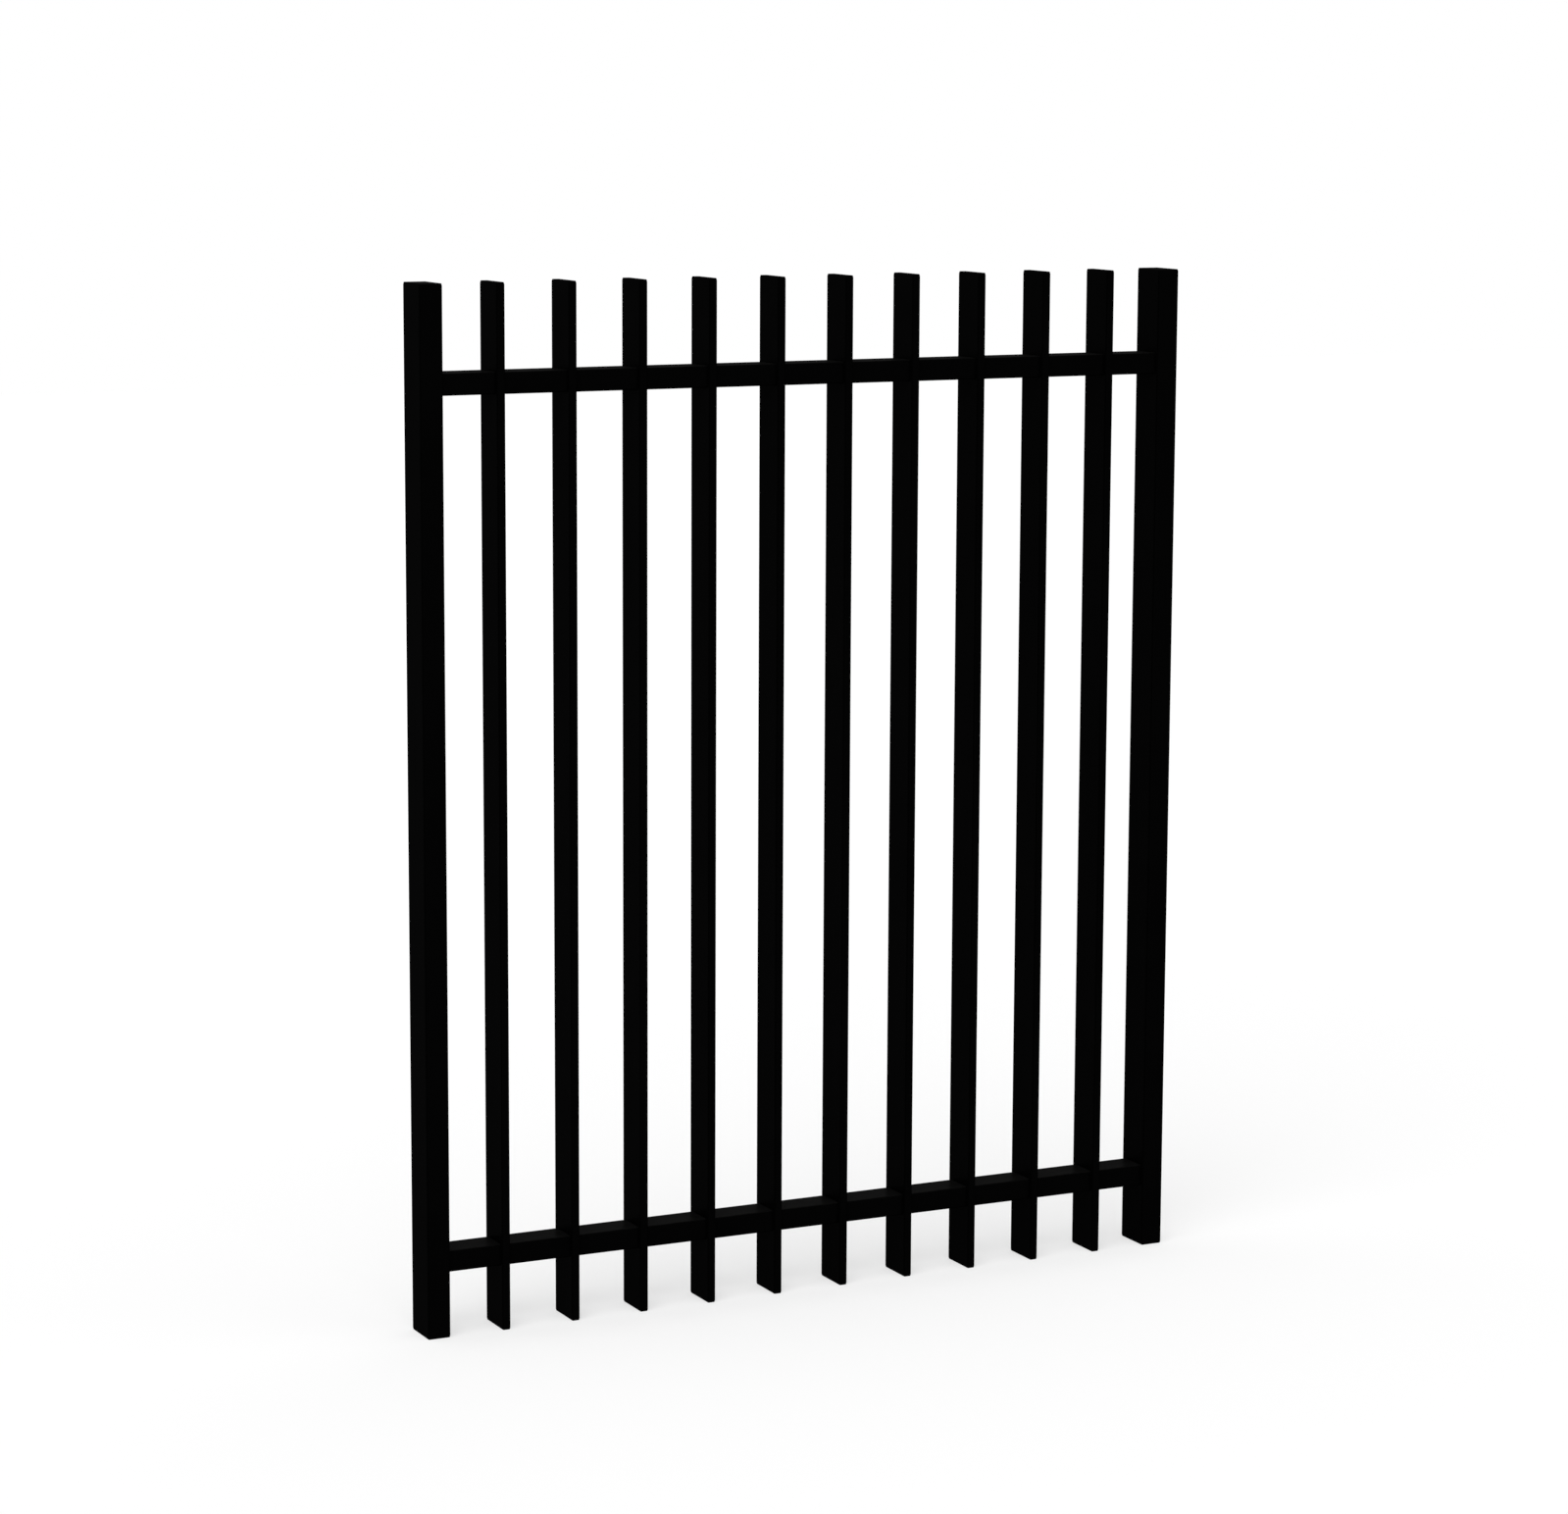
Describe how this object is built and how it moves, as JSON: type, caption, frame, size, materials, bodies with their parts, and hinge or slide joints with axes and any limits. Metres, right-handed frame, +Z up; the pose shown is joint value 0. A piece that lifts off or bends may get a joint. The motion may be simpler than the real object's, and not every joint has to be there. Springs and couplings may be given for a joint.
{
  "type": "aluminium slat gate leaf",
  "caption": "Rigid gate leaf of black powder-coated aluminium tube: upright blade slats threaded on an upper and a lower rail between full-height stiles, hung by a side face.",
  "frame": {"origin": "on the outer face of the hanging stile, at mid depth, level with the lower cut ends of the tubes", "axes": "+X along the leaf from the hanging stile to the closing stile, +Y from its front to its back, +Z up"},
  "size_m": [0.9727, 0.05, 1.2],
  "materials": {
    "black_coat": "satin",
    "cap_plastic": "matte"
  },
  "bodies": {
    "root": {"hanging_stile": "black_coat", "hanging_stile_bottom_cap": "cap_plastic", "hanging_stile_top_cap": "cap_plastic", "closing_stile": "black_coat", "closing_stile_bottom_cap": "cap_plastic", "closing_stile_top_cap": "cap_plastic", "lower_rail": "black_coat", "upper_rail": "black_coat", "slat_01": "black_coat", "slat_01_bottom_cap": "cap_plastic", "slat_01_top_cap": "cap_plastic", "slat_02": "black_coat", "slat_02_bottom_cap": "cap_plastic", "slat_02_top_cap": "cap_plastic", "slat_03": "black_coat", "slat_03_bottom_cap": "cap_plastic", "slat_03_top_cap": "cap_plastic", "slat_04": "black_coat", "slat_04_bottom_cap": "cap_plastic", "slat_04_top_cap": "cap_plastic", "slat_05": "black_coat", "slat_05_bottom_cap": "cap_plastic", "slat_05_top_cap": "cap_plastic", "slat_06": "black_coat", "slat_06_bottom_cap": "cap_plastic", "slat_06_top_cap": "cap_plastic", "slat_07": "black_coat", "slat_07_bottom_cap": "cap_plastic", "slat_07_top_cap": "cap_plastic", "slat_08": "black_coat", "slat_08_bottom_cap": "cap_plastic", "slat_08_top_cap": "cap_plastic", "slat_09": "black_coat", "slat_09_bottom_cap": "cap_plastic", "slat_09_top_cap": "cap_plastic", "slat_10": "black_coat", "slat_10_bottom_cap": "cap_plastic", "slat_10_top_cap": "cap_plastic"}
  },
  "joints": []
}
